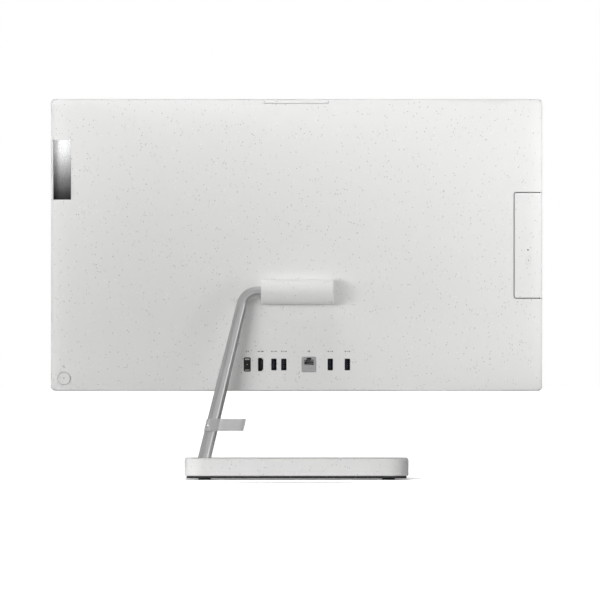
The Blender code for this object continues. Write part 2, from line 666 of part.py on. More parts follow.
def build_boards(display):
    """Mainboard and what is plugged into it."""
    piece("mainboard", block(*MAINBOARD), display, GREEN, 0.5)
    piece("processor", block(*PROCESSOR), display, (0.30, 0.31, 0.32), 0.4, 0.6)
    for number, levels in enumerate(MEMORY_LEVELS, 1):
        piece(f"memory_module_{number}", block(MEMORY_X, levels, MEMORY_Z), display, GREEN, 0.5)
    piece("solid_state_drive", block(*SOLID_STATE_DRIVE), display, BLACK, 0.5)
    piece("wireless_card", block(*WIRELESS_CARD), display, GREEN, 0.5)

    sheet_back = CHASSIS_BACK + GAP + BRACKET_SHEET
    drive = block(HARD_DRIVE_X, (sheet_back + GAP, 0.0046), HARD_DRIVE_Z)
    piece("hard_drive", drive, display, ALUMINIUM, 0.4, 0.8)
    channel = block(BRACKET_X, (CHASSIS_BACK + GAP, 0.0030), BRACKET_Z)
    bracket = piece("hard_drive_bracket", channel, display, STEEL, 0.5, 0.9)
    left, right = BRACKET_X
    inside_x = (left + BRACKET_SHEET, right - BRACKET_SHEET)
    boolean(bracket, block(inside_x, (sheet_back, 0.01), (0.290, 0.380)))

    for name, x0, x1 in SPEAKERS:
        box = block((x0, x1), (CHASSIS_BACK + GAP, SPEAKER_BACK), SPEAKER_Z)
        speaker = piece(name, box, display, BLACK, 0.6)
        middle = (x0 + x1) / 2
        cone = loft([lift(circle(middle, 0.1402, 0.0085, 20), "Y", 0.0055),
                     lift(circle(middle, 0.1402, 0.0165, 20), "Y", 0.0120)])
        boolean(speaker, cone)


def build_cooling(display):
    """Cold plate, heat pipe, fins and the blower with its impeller."""
    cold_plate = block((-0.136, -0.084), (0.0052, 0.0082), (0.150, 0.196))
    piece("cpu_heatsink", cold_plate, display, COPPER, 0.4, 0.9)

    route = [(-0.128, 0.173), (-0.108, 0.173)]
    route += [(-0.090 + 0.018 * math.sin(a), 0.191 - 0.018 * math.cos(a))
              for a in (math.radians(-60 + 30 * step) for step in range(6))]
    route += [(-0.072, 0.300), (-0.072, 0.440)]
    route += [(-0.092 + 0.020 * math.cos(a), 0.441 + 0.020 * math.sin(a))
              for a in (math.radians(15 * step) for step in range(1, 7))]
    route += [(-0.120, 0.461), (-0.156, 0.461)]
    pipe = [Vector((x, 0.0114, z)) for x, z in route]
    piece("heat_pipe", tube(pipe, 0.0029, 8), display, COPPER, 0.35, 0.95, smooth=50)

    fins, count = [], 18
    pitch = 0.076 / count
    for number in range(count):
        left = -0.158 + pitch * number
        fins += [(left, 0.0080), (left + 0.0010, 0.0080), (left + 0.0010, -0.0020), (left + pitch, -0.0020)]
    comb = [(-0.158, -0.0030)] + fins[:-1] + [(-0.083, -0.0020), (-0.083, -0.0030)]
    piece("fin_stack", prism(comb[::-1], "Z", 0.4510, 0.4700), display, ALUMINIUM, 0.4, 0.9)

    cx, cz = BLOWER_CENTRE
    half = BLOWER_HALF
    limits = centred(cx, cz, 2 * half, 2 * half)
    shape = prism(rounded_rectangle(*limits, 0.010, 4), "Y", *BLOWER_Y)
    housing = piece("blower_housing", shape, display, BLACK, 0.5)
    floor = BLOWER_Y[0] + 0.0012
    inner = half - 0.003
    depth = (floor, BLOWER_Y[1] - 0.0010)
    boolean(housing, disc(cx, cz, inner, "Y", *depth, 32))
    boolean(housing, disc(cx, cz, 0.022, "Y", 0.0, 0.02, 24))
    boolean(housing, block((cx - inner, cx + 0.024), depth, (cz, cz + half + 0.01)))

    turner = carrier("fan_turn", (cx, 0.002, cz), display)
    outline = []
    for blade in range(FAN_BLADES):
        turn = 2 * math.pi * blade / FAN_BLADES
        for radius, ahead in ((0.011, 0.0), (FAN_RADIUS, 0.30), (FAN_RADIUS, 0.34), (0.011, 0.15)):
            angle = turn + ahead
            outline.append((cx + radius * math.cos(angle), cz + radius * math.sin(angle)))
    wheel = prism(outline, "Y", floor + 0.0008, BLOWER_Y[1] - 0.0020)
    piece("fan_impeller", wheel, turner, (0.05, 0.05, 0.055), 0.5, origin=ORIGINS["fan_turn"])


def build_drive(display):
    """Slim optical drive with its tray and curved bezel."""
    case = piece("drive_case", block(DRIVE_X, DRIVE_Y, DRIVE_Z), display, STEEL, 0.4, 0.9)
    sheet = DRIVE_SHEET
    inside = [(low + sheet, high - sheet) for low, high in (DRIVE_X, DRIVE_Y, DRIVE_Z)]
    boolean(case, block((-0.32, inside[0][1]), inside[1], inside[2]))

    slider = carrier("tray_slide", (DISC_CENTRE[0], 0.0, DISC_CENTRE[1]), display)
    play = 0.0006
    tray_z = (inside[2][0] + play, inside[2][1] - play)
    tray_x = (COVER_WALL + GAP - COVER_HALF, inside[0][1] - 0.0010)
    tray = piece("drive_tray", block(tray_x, (-0.0030, 0.0028), tray_z), slider, BLACK, 0.5)
    cx, cz = DISC_CENTRE
    boolean(tray, disc(cx, cz, DISC_RADIUS, "Y", 0.0010, 0.01, 40))
    boolean(tray, disc(cx, cz, 0.0100, "Y", -0.0015, 0.01, 24))
    boolean(tray, block((cx - 0.0105, cx + 0.0105), (-0.0015, 0.01), (cz - 0.0470, cz - 0.0085)))

    hub_turn = carrier("spindle_turn", (cx, 0, cz), slider)
    profile = ((0.0088, -0.0012), (0.0088, 0.0009), (0.0072, 0.0012), (0.0068, 0.0030))
    hub = loft([lift(circle(cx, cz, radius, 20), "Y", level) for radius, level in profile])
    piece("disc_spindle", hub, hub_turn, (0.35, 0.35, 0.36), 0.4, 0.3, origin=(cx, 0, cz), smooth=30)
    sled = block((cx - 0.0098, cx + 0.0098), (-0.0012, 0.0009), (cz - 0.0280, cz - 0.0115))
    sled_slide = carrier("sled_slide", (cx, 0, cz - 0.020), slider)
    head = piece("pickup_sled", sled, sled_slide, (0.16, 0.16, 0.17), 0.4, 0.4)
    boolean(head, disc(cx, cz - 0.0170, 0.0032, "Y", 0.0004, 0.01, 16))

    bezel = piece("drive_bezel", cover_form(), slider, WHITE, 0.45, origin=(cx, 0, cz), smooth=25)
    limits = (-0.32, BEZEL_RIGHT - BEZEL_SEAM, BEZEL_LOW + BEZEL_SEAM, BEZEL_HIGH - BEZEL_SEAM)
    face = rounded_rectangle(*limits, BEZEL_CORNER - BEZEL_SEAM, 5)
    boolean(bezel, prism(face, "Y", COVER_FRONT + GAP, 0.03), "INTERSECT")
    core = gathered([cover_form(COVER_WALL)])
    for vertex in core.verts:
        vertex.co.z = min(max(vertex.co.z, BEZEL_LOW + 0.0027), BEZEL_HIGH - 0.0027)
        vertex.co.y -= 0.002 if vertex.co.y < 0 else 0.0
    boolean(bezel, core)
    ex, ez = EJECT_CENTRE
    limits = centred(ex, ez, *EJECT_SIZE)
    boolean(bezel, prism(rounded_rectangle(*limits, 0.0031, 5), "Y", 0.004, 0.03))
    boolean(bezel, disc(*EJECT_HOLE, 0.0010, "Y", 0.004, 0.03, 10))

    press = carrier("eject_slide", (ex, side_depth(ex), ez), slider)
    axis = ORIGINS["eject_slide"]
    button = piece("eject_button", cover_form(), press, WHITE, 0.4, origin=axis, smooth=30)
    width, height = (size - 2 * GAP for size in EJECT_SIZE)
    cap = rounded_rectangle(*centred(ex, ez, width, height), width / 2 - 1e-5, 5)
    boolean(button, prism(cap, "Y", 0.0070, 0.03), "INTERSECT")
    flange = rounded_rectangle(*centred(ex, ez, width + 0.002, height + 0.002), width / 2, 5)
    boolean(button, prism(flange, "Y", 0.0064, 0.0076), "UNION")


def main():
    for old in list(bpy.data.objects):
        bpy.data.objects.remove(old)
    stand = carrier("stand", (0, 0, 0))
    display = carrier("display_tilt", (0, HINGE_Y, HINGE_Z), stand)
    build_stand(stand)
    build_clip(stand)
    build_screen(display)
    build_cover(display)
    build_hinge(display)
    build_power(display)
    build_camera(display)
    build_ports(display)
    build_boards(display)
    build_cooling(display)
    build_drive(display)


main()
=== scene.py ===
import json
import math

import bmesh
import bpy
from mathutils import Matrix, Vector

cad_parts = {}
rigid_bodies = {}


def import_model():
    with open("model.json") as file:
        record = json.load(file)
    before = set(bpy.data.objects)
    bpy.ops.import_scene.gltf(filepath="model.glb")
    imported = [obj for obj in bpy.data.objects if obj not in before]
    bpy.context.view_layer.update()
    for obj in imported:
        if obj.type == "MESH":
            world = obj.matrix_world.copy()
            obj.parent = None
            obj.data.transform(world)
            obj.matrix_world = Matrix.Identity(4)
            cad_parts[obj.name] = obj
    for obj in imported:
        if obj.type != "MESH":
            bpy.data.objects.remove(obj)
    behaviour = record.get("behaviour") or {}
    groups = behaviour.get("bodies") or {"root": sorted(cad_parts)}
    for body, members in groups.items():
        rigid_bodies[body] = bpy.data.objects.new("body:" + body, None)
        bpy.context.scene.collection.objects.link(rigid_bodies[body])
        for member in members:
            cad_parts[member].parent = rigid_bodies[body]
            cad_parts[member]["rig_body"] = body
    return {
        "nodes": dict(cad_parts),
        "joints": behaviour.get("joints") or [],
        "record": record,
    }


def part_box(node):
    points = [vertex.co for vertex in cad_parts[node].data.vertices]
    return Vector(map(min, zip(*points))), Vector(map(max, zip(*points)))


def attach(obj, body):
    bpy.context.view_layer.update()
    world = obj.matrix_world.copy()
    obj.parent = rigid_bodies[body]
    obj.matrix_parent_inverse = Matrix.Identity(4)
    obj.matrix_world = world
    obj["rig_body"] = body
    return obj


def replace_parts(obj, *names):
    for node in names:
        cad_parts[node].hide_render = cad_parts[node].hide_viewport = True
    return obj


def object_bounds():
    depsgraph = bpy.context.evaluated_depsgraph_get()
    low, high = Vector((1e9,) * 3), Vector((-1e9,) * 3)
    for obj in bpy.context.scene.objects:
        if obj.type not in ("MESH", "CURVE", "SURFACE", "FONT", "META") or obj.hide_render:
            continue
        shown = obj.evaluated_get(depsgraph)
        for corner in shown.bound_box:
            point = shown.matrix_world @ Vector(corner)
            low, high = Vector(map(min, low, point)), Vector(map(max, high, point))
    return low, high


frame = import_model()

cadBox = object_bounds()
slotOf = {part["node"]: part["material_slot"] for part in frame["record"]["subparts"]}
jointOf = {joint["name"]: joint for joint in frame["joints"]}
print("frame loaded:", len(frame["nodes"]), "nodes")


# camera, level with the middle of the back and far away, so the object shows almost without perspective
cameraLook = {"lens": 1400.0, "distance": 29.307, "aim": (-0.0044, 0.020, 0.2255), "clipEnd": 100}


def makeCamera():
    data = bpy.data.cameras.new("camera")
    data.lens = cameraLook["lens"]
    data.clip_end = cameraLook["clipEnd"]
    camera = bpy.data.objects.new("camera", data)
    bpy.context.scene.collection.objects.link(camera)
    camera.location = Vector(cameraLook["aim"]) + Vector((0, cameraLook["distance"], 0))
    camera.rotation_euler = (math.radians(90), 0, math.radians(180))
    bpy.context.scene.camera = camera
    bpy.context.scene.view_settings.view_transform = "Standard"


makeCamera()


# node trees
class Wire:
    # an output socket; arithmetic on it adds Math nodes
    def __init__(self, graph, socket):
        self.graph = graph
        self.socket = socket

    def maths(self, operation, first, second=0.0):
        return self.graph.node("ShaderNodeMath", {"operation": operation}, {0: first, 1: second})

    def __add__(self, other):
        return self.maths("ADD", self, other)

    def __radd__(self, other):
        return self.maths("ADD", other, self)

    def __sub__(self, other):
        return self.maths("SUBTRACT", self, other)

    def __rsub__(self, other):
        return self.maths("SUBTRACT", other, self)

    def __mul__(self, other):
        return self.maths("MULTIPLY", self, other)

    def __rmul__(self, other):
        return self.maths("MULTIPLY", other, self)

    def __truediv__(self, other):
        return self.maths("DIVIDE", self, other)

    def __lt__(self, other):
        return self.maths("LESS_THAN", self, other)

    def __gt__(self, other):
        return self.maths("GREATER_THAN", self, other)


def rgba(shade):
    if isinstance(shade, (int, float)):
        shade = (shade, shade, shade)
    return (*shade, 1.0)


def tinted(shade, share, lift=0.0):
    # the same colour, paler or darker
    return [part * share + lift for part in rgba(shade)[:3]]


class Graph:
    # a node tree, with one method that makes its nodes
    def __init__(self, tree):
        self.tree = tree

    def node(self, kind, settings=None, sockets=None, output=0):
        made = self.tree.nodes.new(kind)
        for name, value in (settings or {}).items():
            if name == "stops":
                self.fillRamp(made.color_ramp, value)
            else:
                setattr(made, name, value)
        for name, value in (sockets or {}).items():
            self.feed(made.inputs[name], value)
        return Wire(self, made.outputs[output])

    def feed(self, socket, value):
        if isinstance(value, Wire):
            self.tree.links.new(value.socket, socket)
        else:
            socket.default_value = value

    def fillRamp(self, ramp, stops):
        ramp.elements.remove(ramp.elements[1])
        for number, (place, shade) in enumerate(stops):
            stop = ramp.elements.new(place) if number else ramp.elements[0]
            stop.position = place
            stop.color = rgba(shade)

    def ramp(self, value, stops):
        return self.node("ShaderNodeValToRGB", {"stops": stops}, {"Fac": value})

    def mix(self, share, first, second, blend="MIX"):
        shades = [shade if isinstance(shade, Wire) else rgba(shade) for shade in (first, second)]
        settings = {"data_type": "RGBA", "blend_type": blend}
        return self.node("ShaderNodeMix", settings, {0: share, 6: shades[0], 7: shades[1]}, 2)


class Finish(Graph):
    # a material with a Principled shader; place is the object's own coordinates in metres, and the plain
    # colour and roughness given first are what a viewer without node support shows
    def __init__(self, name, colour, roughness, metallic=0.0, **constants):
        self.material = bpy.data.materials.new(name)
        self.material.use_nodes = True
        super().__init__(self.material.node_tree)
        self.shader = self.tree.nodes["Principled BSDF"]
        self.place = self.node("ShaderNodeTexCoord", output="Object")
        self.put(Base_Color=colour, Roughness=roughness, Metallic=metallic, **constants)

    def put(self, **sockets):
        for name, value in sockets.items():
            socket = self.shader.inputs[name.replace("_", " ")]
            if socket.type == "RGBA" and not isinstance(value, Wire):
                value = rgba(value)
            self.feed(socket, value)
        return self

    def mapped(self, scale, turn=(0, 0, 0), shift=(0, 0, 0)):
        sockets = {"Vector": self.place, "Location": shift, "Rotation": turn, "Scale": scale}
        return self.node("ShaderNodeMapping", {}, sockets)

    def axis(self, output):
        return self.node("ShaderNodeSeparateXYZ", {}, {"Vector": self.place}, output)

    def noise(self, size, detail=2.0, place=None, output=0):
        sockets = {"Vector": place or self.place, "Scale": 1 / size, "Detail": detail}
        return self.node("ShaderNodeTexNoise", {}, sockets, output)

    def cells(self, size, place=None):
        # distance to the nearest cell's centre in cell sizes, and that cell's own random number
        sockets = {"Vector": place or self.place, "Scale": 1 / size}
        distance = self.node("ShaderNodeTexVoronoi", {}, sockets, "Distance")
        colour = Wire(self, distance.socket.node.outputs["Color"])
        return distance, self.node("ShaderNodeSeparateColor", {}, {"Color": colour})

    def bump(self, height, depth, strength=0.5):
        sockets = {"Height": height, "Distance": depth, "Strength": strength}
        return self.put(Normal=self.node("ShaderNodeBump", {}, sockets))


# speckled white plastic: recycled-fibre moulding with tiny grey and white flecks in loose groups
speckLook = {
    "body": (0.80, 0.797, 0.79),
    "mottle": 0.018,
    "mottleTints": (0.985, 1.015),
    "dark": (0.49, 0.49, 0.485),
    "light": (0.90, 0.90, 0.90),
    "cell": 0.0030,  # a cell holds one fleck at most
    "dot": 0.23,  # a fleck's radius in cells
    "chosen": 0.26,  # share of the cells that hold one
    "group": 0.011,  # size of the patches that hold flecks
    "ragged": 0.0009,  # how far a light fleck's edge wanders
    "fibre": (0.66, 0.66, 0.655),
    "fibreLong": 0.0105,
    "fibreWide": 0.0030,
    "fibreDot": 0.17,
    "fibreChosen": 0.16,
    "fibreShare": 0.75,
    "fibreTurns": ((0, 0.5, 0), (0, -0.9, 0.3), (0, 1.7, 0.2)),
    "roughness": 0.50,
}


def speckledWhite():
    look = speckLook
    finish = Finish("speckled_white", look["body"], look["roughness"], Specular_IOR_Level=0.35)
    wobble = finish.noise(look["ragged"], 1.0, output="Color")
    sockets = {0: wobble, 1: (look["ragged"],) * 3, 2: finish.place}
    ragged = finish.node("ShaderNodeVectorMath", {"operation": "MULTIPLY_ADD"}, sockets)
    group = finish.noise(look["group"], 1.0) > 0.50
    loose = finish.noise(look["group"] * 1.7, 1.0) > 0.47

    mottle = finish.noise(look["mottle"], 3.0)
    colour = finish.mix(mottle, *[tinted(look["body"], share) for share in look["mottleTints"]])
    for number, turn in enumerate(look["fibreTurns"]):
        scale = (1 / look["fibreWide"], 1 / look["fibreWide"], 1 / look["fibreLong"])
        strand = finish.mapped(scale, turn, (number * 3.1, 0, 0))
        distance, chance = finish.cells(1.0, strand)
        fibres = (distance < look["fibreDot"]) * (chance < look["fibreChosen"])
        colour = finish.mix(fibres * look["fibreShare"], colour, look["fibre"])
    distance, chance = finish.cells(look["cell"] * 1.15, ragged)
    pale = (distance < look["dot"] * 0.9) * (chance < look["chosen"] * 0.8) * loose
    colour = finish.mix(pale, colour, look["light"])
    moved = finish.mapped((1, 1, 1), (0.2, 0.4, 0.1), (0.31, 0.17, 0.23))
    distance, chance = finish.cells(look["cell"], moved)
    flecks = (distance < look["dot"]) * (chance < look["chosen"]) * group
    colour = finish.mix(flecks, colour, look["dark"])
    finish.put(Base_Color=colour, Roughness=look["roughness"] - 0.06 * flecks + 0.05 * mottle)
    finish.bump(finish.noise(0.0005, 2.0), 0.00005, 0.35)
    return finish.material


# metals
armMetalLook = {
    "dark": 0.44,
    "middle": 0.58,
    "pale": 0.66,
    "wideStreaks": (420, 420, 5),
    "fineStreaks": (1900, 1900, 14),
    "roughness": 0.27,
}


def armMetal():
    # extruded bar: fine streaks along it, read from the straightened position that the arm's mesh keeps
    look = armMetalLook
    finish = Finish("arm_metal", look["pale"], look["roughness"], 1.0)
    straight = finish.node("ShaderNodeAttribute", {"attribute_name": "straight"}, output="Vector")
    wide = finish.node("ShaderNodeMapping", {}, {"Vector": straight, "Scale": look["wideStreaks"]})
    fine = finish.node("ShaderNodeMapping", {}, {"Vector": straight, "Scale": look["fineStreaks"]})
    streaks = finish.noise(1.0, 2.0, wide) * 0.6 + finish.noise(1.0, 3.0, fine) * 0.4
    stops = ((0.30, look["dark"]), (0.50, look["middle"]), (0.68, look["pale"]))
    colour = finish.ramp(streaks, stops)
    finish.put(Base_Color=colour, Roughness=look["roughness"] + 0.16 * streaks)
    finish.bump(finish.noise(1.0, 2.0, fine), 0.00003, 0.3)
    return finish.material


badgeLook = {
    "metallic": 0.85,
    "roughness": 0.24,
    "grain": (9000, 9000, 160),
    # colour stops of the painted reflection, from the plate's foot to its top
    "stops": ((0.0, 0.020), (0.12, 0.055), (0.34, 0.19), (0.55, 0.42), (0.80, 0.80), (1.0, 0.92)),
}


def polishedPlate():
    # mirror-like plate with a painted reflection: its colour runs from pale at its top to nearly black at its
    # foot
    look = badgeLook
    low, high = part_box("badge_plate")
    finish = Finish("polished_metal", 0.6, look["roughness"], look["metallic"])
    height = (finish.axis("Z") - low.z) / (high.z - low.z)
    # painted reflection: colour by height, dark at the foot and pale at the top
    colour = finish.ramp(height, look["stops"])
    grain = finish.noise(1.0, 2.0, finish.mapped(look["grain"]))
    finish.put(Base_Color=colour, Roughness=look["roughness"] + 0.08 * grain)
    finish.bump(grain, 0.00002, 0.15)
    return finish.material


def sheetMetal(name, colour, roughness, grainSize=0.0006, stretch=(1, 1, 0.04), stain=0.12):
    # rolled or turned metal: a stretched grain, with faint cloudy stains
    finish = Finish(name, colour, roughness, 1.0)
    grain = finish.noise(1.0, 2.0, finish.mapped([part / grainSize for part in stretch]))
    cloud = finish.noise(0.020, 4.0)
    shade = finish.mix(cloud, tinted(colour, 1 - 2 * stain), colour)
    finish.put(Base_Color=shade, Roughness=roughness + 0.12 * grain + 0.10 * cloud - 0.05)
    finish.bump(grain, 0.00003, 0.3)
    return finish.material


castLook = {"pits": 0.0035, "iron": (0.16, 0.30), "rust": (0.20, 0.12, 0.08), "rustFrom": 0.62}


def castPlate():
    look = castLook
    finish = Finish("ballast_steel", 0.25, 0.62, 0.9)
    pits = finish.noise(look["pits"], 6.0)
    rust = finish.noise(0.030, 5.0) > look["rustFrom"]
    iron = finish.ramp(pits, tuple(zip((0.3, 0.7), look["iron"])))
    finish.put(Base_Color=finish.mix(rust * 0.5, iron, look["rust"]))
    finish.bump(pits, 0.0004, 0.6)
    return finish.material


# plastics and rubber
def mouldedPlastic(name, colour, roughness, grainSize=0.0007, depth=0.00006):
    finish = Finish(name, colour, roughness, Specular_IOR_Level=0.4)
    grain = finish.noise(grainSize, 3.0)
    cloud = finish.noise(0.015, 2.0)
    shade = finish.mix(cloud * 0.5, colour, tinted(colour, 1.35, 0.003))
    finish.put(Base_Color=shade, Roughness=roughness + 0.14 * grain - 0.05)
    finish.bump(grain, depth, 0.5)
    return finish.material


clipLook = {"colour": (0.62, 0.62, 0.62), "tints": (0.92, 1.08), "alpha": 0.50, "roughness": 0.32}


def clearGrey():
    # smoke-tinted soft plastic that the arm shows through
    look = clipLook
    constants = {"Alpha": look["alpha"], "Specular_IOR_Level": 0.5}
    finish = Finish("clip_plastic", look["colour"], look["roughness"], **constants)
    flow = finish.noise(1.0, 2.0, finish.mapped((120, 120, 420)))
    shades = [tinted(look["colour"], share) for share in look["tints"]]
    finish.put(Base_Color=finish.mix(flow, *shades), Roughness=look["roughness"] + 0.12 * flow - 0.04)
    finish.bump(flow, 0.00006, 0.3)
    return finish.material


def footRubber():
    finish = Finish("foot_rubber", 0.018, 0.82, Specular_IOR_Level=0.3)
    dust = finish.noise(0.0015, 5.0)
    finish.put(Base_Color=finish.ramp(dust, ((0.35, 0.012), (0.75, 0.035))), Roughness=0.75 + 0.2 * dust)
    finish.bump(finish.noise(0.0006, 2.0), 0.00008, 0.6)
    return finish.material


# glass and screens
screenLook = {
    "border": 0.006,
    "chinSide": 0.009,
    "printed": 0.004,
    "picture": ((0.1, 0.010), (0.6, 0.017)),
    "gridScale": 700.0,
}


def screenGlass():
    # black glass: a printed border round a slightly greyer picture area with a fine pixel grid under it
    look = screenLook
    low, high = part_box("display_glass")
    coat = {"Coat_Weight": 0.6, "Coat_Roughness": 0.03}
    finish = Finish("screen_glass", look["printed"], 0.05, Specular_IOR_Level=0.5, **coat)
    x, z = finish.axis("X"), finish.axis("Z")
    edge = look["border"]
    across = (x > low.x + edge) * (x < high.x - edge)
    inside = across * (z > low.z + look["chinSide"]) * (z < high.z - edge)
    sockets = {"Vector": finish.place, "Scale": look["gridScale"]}
    grid = finish.node("ShaderNodeTexWave", {"bands_direction": "X"}, sockets)
    smear = finish.noise(0.09, 3.0)
    picture = finish.ramp(grid * 0.3 + smear * 0.3, look["picture"])
    shade = finish.mix(inside, look["printed"], picture)
    finish.put(Base_Color=shade, Roughness=0.04 + 0.05 * smear + 0.10 * inside)
    return finish.material


def windowGlass():
    finish = Finish("window_glass", 0.008, 0.06, Coat_Weight=0.5)
    smear = finish.noise(0.012, 3.0)
    finish.put(Base_Color=finish.ramp(smear, ((0.3, 0.006), (0.7, 0.013))), Roughness=0.04 + 0.08 * smear)
    return finish.material


lensRings = (
    (0.0, (0.001, 0.001, 0.003)),
    (0.35, (0.01, 0.012, 0.05)),
    (0.55, (0.05, 0.02, 0.07)),
    (0.75, 0.004),
    (1.0, 0.02),
)


def lensGlass():
    # coated glass in rings round the camera's eye
    low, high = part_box("camera_lens")
    middle = (low + high) / 2
    finish = Finish("lens_glass", (0.02, 0.02, 0.05), 0.04, Coat_Weight=1.0)
    centred = finish.mapped((1, 1, 1), (0, 0, 0), (-middle.x, -middle.y, -middle.z))
    radius = finish.node("ShaderNodeVectorMath", {"operation": "LENGTH"}, {0: centred}, "Value")
    rings = finish.ramp(radius / (high.x - middle.x), lensRings)
    finish.put(Base_Color=rings, Roughness=0.03 + 0.05 * finish.noise(0.002, 2.0))
    return finish.material


def backlightTray():
    finish = Finish("backlight_tray", 0.45, 0.45, 0.4)
    ribs = finish.node("ShaderNodeTexWave", {"bands_direction": "X"}, {"Vector": finish.place, "Scale": 18.0})
    cloud = finish.noise(0.03, 3.0)
    finish.put(Base_Color=finish.mix(cloud, 0.40, 0.50), Roughness=0.38 + 0.14 * cloud)
    finish.bump(ribs, 0.0004, 0.4)
    return finish.material


# electronics
boardLook = {
    "mask": (0.008, 0.075, 0.035),
    "track": (0.02, 0.15, 0.06),
    "pad": (0.72, 0.60, 0.34),
    "trackScale": 300.0,
    "padCell": 0.0042,
}


def circuitBoard():
    # solder mask over branching tracks, with plated holes
    look = boardLook
    finish = Finish("circuit_board", (0.01, 0.09, 0.04), 0.35, Specular_IOR_Level=0.5)
    sockets = {"Vector": finish.place, "Scale": look["trackScale"]}
    edges = finish.node("ShaderNodeTexVoronoi", {"feature": "DISTANCE_TO_EDGE"}, sockets, "Distance")
    tracks = edges < 0.07
    distance, chance = finish.cells(look["padCell"])
    pads = (distance < 0.17) * (chance < 0.35)
    shade = finish.mix(pads, finish.mix(tracks, look["mask"], look["track"]), look["pad"])
    finish.put(Base_Color=shade, Metallic=pads * 0.9, Roughness=0.42 - 0.15 * pads)
    finish.bump(tracks + pads, 0.00005, 0.6)
    return finish.material


def speakerMesh():
    finish = Finish("speaker_mesh", (0.10, 0.10, 0.11), 0.55, 0.4)
    grain = finish.noise(0.0004, 3.0)
    shade = finish.mix(grain, (0.07, 0.07, 0.075), (0.14, 0.14, 0.15))
    finish.put(Base_Color=shade, Roughness=0.45 + 0.2 * grain)
    finish.bump(grain, 0.00004, 0.5)
    return finish.material


finishes = {
    "speckled_white": speckledWhite(),
    "arm_metal": armMetal(),
    "polished_metal": polishedPlate(),
    "clip_plastic": clearGrey(),
    "foot_rubber": footRubber(),
    "black_plastic": mouldedPlastic("black_plastic", 0.015, 0.48),
    "steel": sheetMetal("steel", (0.56, 0.57, 0.58), 0.34),
    "ballast_steel": castPlate(),
    "screen_glass": screenGlass(),
    "backlight_tray": backlightTray(),
    "speaker_mesh": speakerMesh(),
    "port_metal": sheetMetal("port_metal", (0.76, 0.76, 0.77), 0.26, 0.0004),
    "circuit_board": circuitBoard(),
    "chip_lid": sheetMetal("chip_lid", (0.45, 0.46, 0.47), 0.38, 0.0003, (1, 1, 1)),
    "copper": sheetMetal("copper", (0.72, 0.36, 0.20), 0.30, 0.0005, (1, 1, 0.05), 0.2),
    "fin_aluminium": sheetMetal("fin_aluminium", (0.62, 0.62, 0.62), 0.36),
    "window_glass": windowGlass(),
    "lens_glass": lensGlass(),
}
# black plastic of the sockets, also used as painted shade on socket rims and inner walls, round the network
# port's face and in pin holes
socketBlackAndShade = mouldedPlastic("socket_black_and_shade", (0.010, 0.011, 0.014), 0.42)
tongueBlue = mouldedPlastic("tongue_blue", (0.010, 0.014, 0.032), 0.40)
contactGold = sheetMetal("contact_gold", (0.86, 0.66, 0.34), 0.24, 0.0003)
printGrey = mouldedPlastic("print_grey", (0.20, 0.20, 0.205), 0.60)
lampGlass = mouldedPlastic("lamp_glass", (0.10, 0.10, 0.105), 0.20)
print("materials made")


# modelling helpers
def deselectAll():
    if bpy.context.object and bpy.context.object.mode != "OBJECT":
        bpy.ops.object.mode_set(mode="OBJECT")
    bpy.ops.object.select_all(action="DESELECT")


def activate(piece):
    deselectAll()
    piece.select_set(True)
    bpy.context.view_layer.objects.active = piece


def startEdit(piece, kind="FACE", action="DESELECT"):
    activate(piece)
    bpy.ops.object.mode_set(mode="EDIT")
    bpy.ops.mesh.select_mode(type=kind)
    bpy.ops.mesh.select_all(action=action)


def endEdit():
    bpy.ops.object.mode_set(mode="OBJECT")


def pick(piece, test, kind="faces"):
    # selects only what passes the test on its middle and normal
    form = bmesh.from_edit_mesh(piece.data)
    bpy.ops.mesh.select_all(action="DESELECT")
    for item in getattr(form, kind):
        if kind == "faces":
            chosen = test(item.calc_center_median(), item.normal)
        elif kind == "edges":
            chosen = test((item.verts[0].co + item.verts[1].co) / 2, item.verts[1].co - item.verts[0].co)
        else:
            chosen = test(item.co, item.normal)
        item.select_set(chosen)
    form.select_flush_mode()
    bmesh.update_edit_mesh(piece.data)


def primitive(kind, name, **settings):
    deselectAll()
    getattr(bpy.ops.mesh, f"primitive_{kind}_add")(**settings)
    piece = bpy.context.object
    piece.name = name
    return piece


def settle(piece):
    # moves the object's place, turn and size into its mesh
    activate(piece)
    bpy.ops.object.transform_apply(location=True, rotation=True, scale=True)
    return piece


def modify(piece, kind, **settings):
    activate(piece)
    modifier = piece.modifiers.new(kind.lower(), kind)
    for name, value in settings.items():
        setattr(modifier, name, value)
    bpy.ops.object.modifier_apply(modifier=modifier.name)
    return piece


def soften(piece, width, segments=2, angle=35):
    settings = {"limit_method": "ANGLE", "angle_limit": math.radians(angle), "use_clamp_overlap": True}
    return modify(piece, "BEVEL", width=width, segments=segments, **settings)


def smooth(piece, angle=35):
    activate(piece)
    bpy.ops.object.shade_smooth_by_angle(angle=math.radians(angle))
    return modify(piece, "WEIGHTED_NORMAL", keep_sharp=True)


def faceOut(piece):
    startEdit(piece, "FACE", "SELECT")
    bpy.ops.mesh.remove_doubles(threshold=0.000005)
    bpy.ops.mesh.normals_make_consistent(inside=False)
    endEdit()
    return piece


def block(name, low, high):
    middle = [(start + end) / 2 for start, end in zip(low, high)]
    size = [end - start for start, end in zip(low, high)]
    return settle(primitive("cube", name, size=1, location=middle, scale=size))


def rod(name, middle, radius, depth, turn=(0, 0, 0), sides=32):
    form = {"vertices": sides, "radius": radius, "depth": depth}
    return settle(primitive("cylinder", name, location=middle, rotation=turn, **form))


def joined(name, *pieces):
    activate(pieces[0])
    for piece in pieces[1:]:
        piece.select_set(True)
    bpy.ops.object.join()
    pieces[0].name = name
    return pieces[0]


def paint(piece, *materials):
    piece.data.materials.clear()
    for material in materials:
        piece.data.materials.append(material)
    return piece


def paintFaces(piece, material, test):
    # gives one more material to the faces that pass the test
    piece.data.materials.append(material)
    for face in piece.data.polygons:
        if test(face.center, face.normal):
            face.material_index = len(piece.data.materials) - 1
    return piece


def standFor(piece, node):
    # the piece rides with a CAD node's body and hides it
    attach(piece, frame["nodes"][node]["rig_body"])
    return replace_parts(piece, node)


